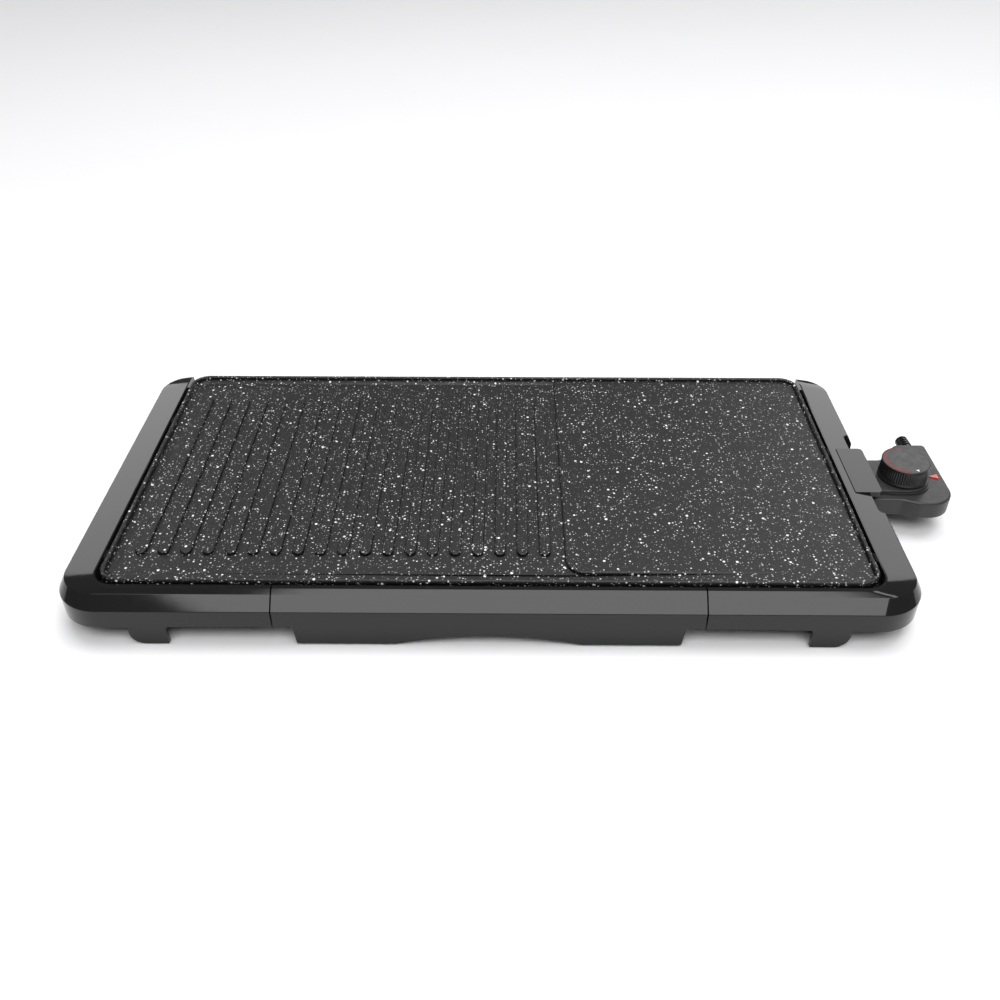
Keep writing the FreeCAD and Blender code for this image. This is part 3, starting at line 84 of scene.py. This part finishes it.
class Look:
    """A node material under construction: short calls that add one node each."""

    def __init__(self, name, **shader):
        self.material = bpy.data.materials.new(name)
        self.material.use_nodes = True
        self.tree = self.material.node_tree
        self.shader = self.tree.nodes["Principled BSDF"]
        for socket, number in shader.items():
            self.shader.inputs[socket.replace("_", " ")].default_value = number
        self.place = self.tree.nodes.new("ShaderNodeTexCoord").outputs["Object"]

    def put(self, value, socket):
        if isinstance(value, bpy.types.NodeSocket):
            self.tree.links.new(value, socket)
        else:
            socket.default_value = value

    def maths(self, kind, first, second=0.0, third=0.0):
        node = self.tree.nodes.new("ShaderNodeMath")
        node.operation = kind
        for socket, value in zip(node.inputs, (first, second, third)):
            self.put(value, socket)
        return node.outputs[0]

    def stretched(self, x, y, z):
        node = self.tree.nodes.new("ShaderNodeMapping")
        node.inputs["Scale"].default_value = (x, y, z)
        self.put(self.place, node.inputs["Vector"])
        return node.outputs[0]

    def noise(self, scale, detail=2.0, roughness=0.5, vector=None):
        node = self.tree.nodes.new("ShaderNodeTexNoise")
        node.inputs["Scale"].default_value = scale
        node.inputs["Detail"].default_value = detail
        node.inputs["Roughness"].default_value = roughness
        self.put(vector or self.place, node.inputs["Vector"])
        return node.outputs["Fac"]

    def spots(self, scale, radius, spread=2.0):
        """Mask of round spots of mixed size: one at most for each cell of the given scale."""
        node = self.tree.nodes.new("ShaderNodeTexVoronoi")
        node.inputs["Scale"].default_value = scale
        self.put(self.place, node.inputs["Vector"])
        split = self.tree.nodes.new("ShaderNodeSeparateColor")
        self.put(node.outputs["Color"], split.inputs[0])
        size = self.maths("MULTIPLY", self.maths("POWER", split.outputs[0], spread), radius)
        edge = self.maths("SUBTRACT", size, node.outputs["Distance"])
        mask = self.span(edge, 0.0, 0.25 * radius, 0.0, 1.0)
        return mask, split.outputs[1]

    def span(self, value, low, high, out_low, out_high):
        node = self.tree.nodes.new("ShaderNodeMapRange")
        limits = {"From Min": low, "From Max": high, "To Min": out_low, "To Max": out_high}
        for socket, number in limits.items():
            node.inputs[socket].default_value = number
        self.put(value, node.inputs["Value"])
        return node.outputs[0]

    def blend(self, factor, first, second):
        node = self.tree.nodes.new("ShaderNodeMix")
        node.data_type = "RGBA"
        self.put(factor, node.inputs[0])
        for socket, value in ((node.inputs[6], first), (node.inputs[7], second)):
            self.put(value if isinstance(value, bpy.types.NodeSocket) else (*value, 1.0), socket)
        return node.outputs[2]

    def colour(self, value):
        self.put(value, self.shader.inputs["Base Color"])

    def rough(self, value):
        self.put(value, self.shader.inputs["Roughness"])

    def bump(self, height, distance, strength=1.0):
        node = self.tree.nodes.new("ShaderNodeBump")
        node.inputs["Strength"].default_value = strength
        node.inputs["Distance"].default_value = distance
        self.put(height, node.inputs["Height"])
        self.put(node.outputs[0], self.shader.inputs["Normal"])


def grey(level):
    return (level, level, level * 1.01)


# speck layers: cells per metre, largest radius in cells, size spread, faintest, strongest, tone
SPECKS = [
    (1250, 0.40, 1.6, 0.05, 0.45, 0.20),
    (680, 0.38, 1.7, 0.20, 1.00, 0.58),
    (470, 0.35, 2.2, 0.40, 1.00, 0.82),
    (240, 0.27, 2.2, 0.70, 1.00, 0.95),
]


def frame_plastic():
    look = Look("frame_plastic", Specular_IOR_Level=0.36)
    look.colour(look.blend(look.noise(9, 3), grey(0.009), grey(0.013)))
    look.rough(look.span(look.noise(160, 4), 0.3, 0.7, 0.04, 0.07))
    look.bump(look.noise(2600, 2), 0.00001, 0.35)
    return look.material


def plate_coating():
    """Black enamel, white specks of four sizes; painted shade keeps upright walls darker than level
    faces.
    """
    look = Look("plate_coating", Specular_IOR_Level=0.4)
    normal = look.tree.nodes.new("ShaderNodeNewGeometry").outputs["Normal"]
    split = look.tree.nodes.new("ShaderNodeSeparateXYZ")
    look.put(normal, split.inputs[0])
    # painted shade: faces that stand upright, such as the ribs' sides, are coloured near black
    free_of_painted_shade = look.span(split.outputs[2], 0.75, 0.995, 0.0, 1.0)
    clouds = look.noise(14, 4)
    ground_and_painted_shade = look.blend(free_of_painted_shade, grey(0.001), look.blend(clouds, grey(0.009), grey(0.016)))
    for scale, radius, spread, faint, strong, tone in SPECKS:
        mask, shade = look.spots(scale, radius, spread)
        strength = look.maths("MULTIPLY", mask, look.span(shade, 0, 1, faint, strong))
        ground_and_painted_shade = look.blend(strength, ground_and_painted_shade, grey(tone))
    look.colour(ground_and_painted_shade)
    look.rough(look.span(look.noise(420, 3), 0.3, 0.7, 0.42, 0.54))
    look.bump(look.noise(900, 3), 0.00006, 0.5)
    return look.material


def textured_plastic(name, dark, light, roughness, specular):
    look = Look(name, Specular_IOR_Level=specular)
    look.colour(look.blend(look.noise(55, 4), grey(dark), grey(light)))
    look.rough(look.span(look.noise(300, 3), 0.3, 0.7, roughness - 0.05, roughness + 0.06))
    look.bump(look.noise(3200, 2), 0.00002, 0.35)
    return look.material


def brushed_metal(name, first, second, roughness, along):
    look = Look(name, Metallic=1.0)
    lines = look.noise(1.0, 3, 0.6, look.stretched(*along))
    look.colour(look.blend(look.noise(40, 3), first, second))
    look.rough(look.span(lines, 0.25, 0.75, roughness - 0.07, roughness + 0.1))
    look.bump(lines, 0.00003, 0.5)
    return look.material


def element_sheath():
    look = Look("element_sheath", Metallic=1.0)
    tint = look.blend(look.noise(18, 3), (0.20, 0.17, 0.15), (0.10, 0.10, 0.13))
    look.colour(look.blend(look.noise(260, 3), tint, (0.26, 0.22, 0.18)))
    look.rough(look.span(look.noise(500, 3), 0.3, 0.7, 0.38, 0.55))
    look.bump(look.noise(1500, 2), 0.00003, 0.4)
    return look.material


def ceramic():
    look = Look("insulator", Specular_IOR_Level=0.4)
    specks, _ = look.spots(1800, 0.3, 1.5)
    base = look.blend(look.noise(90, 3), (0.72, 0.69, 0.62), (0.80, 0.78, 0.72))
    look.colour(look.blend(look.maths("MULTIPLY", specks, 0.3), base, (0.45, 0.42, 0.38)))
    look.rough(look.span(look.noise(600, 3), 0.3, 0.7, 0.5, 0.7))
    look.bump(look.noise(2500, 2), 0.00003, 0.5)
    return look.material


def rubber():
    look = Look("foot_rubber", Specular_IOR_Level=0.35)
    look.colour(look.blend(look.noise(120, 4), grey(0.006), grey(0.012)))
    look.rough(look.span(look.noise(500, 3), 0.3, 0.7, 0.22, 0.34))
    look.bump(look.noise(2200, 3), 0.00005, 0.6)
    return look.material


def lens_red():
    look = Look("lens_red", Specular_IOR_Level=0.6, Transmission_Weight=0.25, IOR=1.49)
    look.colour(look.blend(look.noise(400, 2), (0.86, 0.02, 0.015), (0.98, 0.045, 0.03)))
    look.rough(look.span(look.noise(900, 2), 0.3, 0.7, 0.12, 0.2))
    look.bump(look.noise(1500, 1), 0.00003, 0.4)
    return look.material


def lamp_glass():
    look = Look("lamp_glass", Transmission_Weight=0.85, IOR=1.5)
    look.colour(look.blend(look.noise(300, 2), (0.95, 0.80, 0.68), (0.90, 0.62, 0.45)))
    look.rough(look.span(look.noise(600, 2), 0.3, 0.7, 0.04, 0.1))
    look.bump(look.noise(500, 1), 0.00002, 0.3)
    return look.material


def print_ink(name, first, second):
    look = Look(name, Specular_IOR_Level=0.3)
    look.colour(look.blend(look.noise(1500, 3), first, second))
    look.rough(look.span(look.noise(900, 2), 0.3, 0.7, 0.45, 0.6))
    look.bump(look.noise(4000, 1), 0.00001, 0.4)
    return look.material


def studio_floor():
    look = Look("studio_floor", Specular_IOR_Level=0.2)
    look.colour(look.blend(look.noise(3, 3), grey(0.92), grey(0.95)))
    look.rough(look.span(look.noise(30, 3), 0.3, 0.7, 0.6, 0.7))
    return look.material


LOOKS = {
    "frame_plastic": frame_plastic(),
    "plate_coating": plate_coating(),
    "sheet_steel": brushed_metal("sheet_steel", (0.52, 0.52, 0.53), (0.60, 0.60, 0.60), 0.36,
                                 (60, 2400, 2400)),
    "screw_steel": brushed_metal("screw_steel", (0.44, 0.44, 0.45), (0.56, 0.56, 0.57), 0.3,
                                 (900, 900, 900)),
    "shield_aluminium": brushed_metal("shield_aluminium", (0.68, 0.68, 0.69), (0.76, 0.76, 0.77), 0.34,
                                      (50, 2000, 2000)),
    "element_sheath": element_sheath(),
    "contact_metal": brushed_metal("contact_metal", (0.70, 0.52, 0.24), (0.78, 0.62, 0.34), 0.28,
                                   (400, 1500, 1500)),
    "insulator": ceramic(),
    "foot_rubber": rubber(),
    "control_plastic": textured_plastic("control_plastic", 0.030, 0.040, 0.36, 0.34),
    "knob_plastic": textured_plastic("knob_plastic", 0.014, 0.020, 0.34, 0.5),
    "lens_red": lens_red(),
    "lamp_glass": lamp_glass(),
}


def paint_nodes():
    for name, node in nodes.items():
        for part in node.material_slots:
            part.material = LOOKS[slots[name]]


# --- knob: ribbed grip and printed dial ----------------------------------------------------------

def mesh_object(name, mesh_builder, material, smooth=True):
    mesh = bpy.data.meshes.new(name)
    build = bmesh.new()
    mesh_builder(build)
    bmesh.ops.recalc_face_normals(build, faces=build.faces)
    build.to_mesh(mesh)
    build.free()
    piece = bpy.data.objects.new(name, mesh)
    scene.collection.objects.link(piece)
    mesh.materials.append(material)
    for face in mesh.polygons:
        face.use_smooth = smooth
    return piece


def polar(centre, radius, angle, height):
    return (centre.x + radius * math.cos(angle), centre.y + radius * math.sin(angle), height)


def knob_profile(base_radius, top_radius, bottom, top):
    """Radius, height and rib depth from the hub's underside, over the rim, to the middle of the top."""
    wall, collar, edge = 2 * MM, 1.2 * MM, 0.55 * MM
    foot_bevel, groove, rib_depth = 0.2 * MM, 0.25 * MM, 0.55 * MM
    rib_levels, edge_steps = 7, 6

    def outside(height):
        return base_radius + (top_radius - base_radius) * (height - bottom) / (top - bottom)

    ledge = outside(bottom + collar)
    profile = [(HUB_RADIUS, bottom + HUB_LIFT, 0), (HUB_RADIUS, top - wall, 0),
               (top_radius - wall, top - wall, 0), (base_radius - wall, bottom, 0),
               (base_radius - foot_bevel, bottom, 0), (base_radius, bottom + foot_bevel, 0),
               (ledge, bottom + collar, 0), (ledge - groove, bottom + collar + 0.1 * MM, 0)]
    low, high = bottom + collar + 0.15 * MM, top - edge - 0.5 * MM
    for number in range(rib_levels):
        height = low + (high - low) * number / (rib_levels - 1)
        depth = rib_depth * min(1, number, rib_levels - 1 - number)
        profile.append((outside(height) - groove, height, depth))
    for number in range(edge_steps + 1):
        angle = math.radians(90 * number / edge_steps)
        profile.append((top_radius - edge * (1 - math.cos(angle)), top - edge * (1 - math.sin(angle)), 0))
    dial_radius = top_radius - edge
    profile += [(dial_radius - 0.25 * MM, top, 0), (dial_radius - 0.4 * MM, top - DIAL_DROP, 0),
                (4 * MM, top - DIAL_DROP, 0)]
    return profile


def make_knob():
    low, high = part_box("control_knob")
    centre = middle("control_knob")
    base_radius = (high[0] - low[0]) / 2
    bottom, top = low[2], high[2] - 0.05 * MM
    top_radius = base_radius - 0.4 * MM
    ribs, steps = 62, 8
    turns = ribs * steps
    dial = top - DIAL_DROP

    def build(work):
        rings = []
        for radius, height, depth in knob_profile(base_radius, top_radius, bottom, top):
            ring = []
            for turn in range(turns):
                angle = 2 * math.pi * turn / turns
                wave = 0.5 + 0.5 * math.cos(ribs * angle)
                reach = radius - depth * (1 - wave ** 0.6)
                ring.append(work.verts.new(polar(centre, reach, angle, height)))
            rings.append(ring)
        crown = work.verts.new((centre.x, centre.y, dial))
        hub = work.verts.new((centre.x, centre.y, bottom + HUB_LIFT))
        for turn in range(turns):
            following = (turn + 1) % turns
            for lower, upper in zip(rings, rings[1:]):
                work.faces.new((lower[turn], lower[following], upper[following], upper[turn]))
            work.faces.new((rings[-1][turn], rings[-1][following], crown))
            work.faces.new((rings[0][following], rings[0][turn], hub))

    knob = mesh_object("knob_grip", build, LOOKS["knob_plastic"])
    for facet in knob.data.polygons:
        facet.use_smooth = abs(facet.normal.z) < LEVEL
    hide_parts("control_knob")
    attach(knob, "knob")
    ink_low, ink_high = dial - 0.02 * MM, dial + 0.04 * MM
    make_heat_arc(centre, top_radius - 1.5 * MM, ink_low, ink_high)
    make_marker(centre, top_radius - 1.7 * MM, ink_low, ink_high)


def make_heat_arc(centre, outer, ink_low, ink_high):
    """Printed band that widens towards the hot end of the scale."""
    start, end, count = math.radians(88), math.radians(268), 60
    widest, cold_share, growth = 1.9 * MM, 0.2, 1.6

    def build(work):
        sections = []
        for number in range(count + 1):
            share = number / count
            width = (cold_share + (1 - cold_share) * min(1, growth * share)) * widest
            angle = start + (end - start) * share
            corners = ((outer - width, ink_low), (outer, ink_low),
                       (outer, ink_high), (outer - width, ink_high))
            sections.append([work.verts.new(polar(centre, radius, angle, height))
                             for radius, height in corners])
        for first, second in zip(sections, sections[1:]):
            for side in range(4):
                following = (side + 1) % 4
                work.faces.new((first[side], first[following], second[following], second[side]))
        work.faces.new(sections[0])
        work.faces.new(list(reversed(sections[-1])))

    red = print_ink("dial_red", (0.17, 0.030, 0.028), (0.25, 0.045, 0.040))
    arc = mesh_object("dial_arc", build, red, smooth=False)
    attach(arc, "knob")


def make_marker(centre, reach, ink_low, ink_high):
    """Printed arrowhead that points at the rim."""
    angle, length, half_width = math.radians(-71), 2.3 * MM, 1.35 * MM

    def build(work):
        out = Vector((math.cos(angle), math.sin(angle), 0))
        side = Vector((-out.y, out.x, 0))
        tip = centre + out * reach
        back = centre + out * (reach - length)
        corners = [tip, back + side * half_width, back - side * half_width]
        under, over = [[work.verts.new((corner.x, corner.y, height)) for corner in corners]
                       for height in (ink_low, ink_high)]
        work.faces.new(under)
        work.faces.new(list(reversed(over)))
        for number in range(3):
            following = (number + 1) % 3
            work.faces.new((under[number], under[following], over[following], over[number]))

    white = print_ink("dial_white", (0.78, 0.78, 0.76), (0.86, 0.86, 0.84))
    pointer = mesh_object("dial_marker", build, white, smooth=False)
    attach(pointer, "knob")


# --- studio -------------------------------------------------------------------------------------

def area_light(name, place, aim, width, height, power, shape="RECTANGLE"):
    data = bpy.data.lights.new(name, "AREA")
    data.shape = shape
    data.size = width
    data.size_y = height
    data.energy = power
    light = bpy.data.objects.new(name, data)
    light.location = place
    light.rotation_euler = (Vector(aim) - Vector(place)).to_track_quat("-Z", "Y").to_euler()
    scene.collection.objects.link(light)


def make_studio():
    half = 6.0

    def floor_mesh(work):
        work.faces.new([work.verts.new(corner) for corner in
                        ((-half, -half, 0), (half, -half, 0), (half, half, 0), (-half, half, 0))])

    floor = mesh_object("studio_floor", floor_mesh, studio_floor(), smooth=False)
    world = bpy.data.worlds.new("studio")
    world.use_nodes = True
    background = world.node_tree.nodes["Background"]
    background.inputs["Color"].default_value = (0.96, 0.97, 1.0, 1.0)
    background.inputs["Strength"].default_value = 0.12
    scene.world = world
    target = (0, 0, 0.03)
    area_light("top_softbox", (0.3, 0.5, 2.8), target, 2.6, 1.8, 68)
    # a long oval overhead in front: the rails' front bevel mirrors its rounded left end
    area_light("front_oval", (0.15, -1.5, 2.0), (0.15, -1.5, 0), 2.9, 1.6, 50, "ELLIPSE")
    # the end rails mirror these two, which the level plate hardly sees
    area_light("left_panel", (-2.0, 2.5, 1.45), target, 1.1, 1.0, 9)
    area_light("right_panel", (1.6, 2.5, 1.45), target, 1.0, 1.4, 11.5)


make_camera()
paint_nodes()
make_knob()
make_studio()
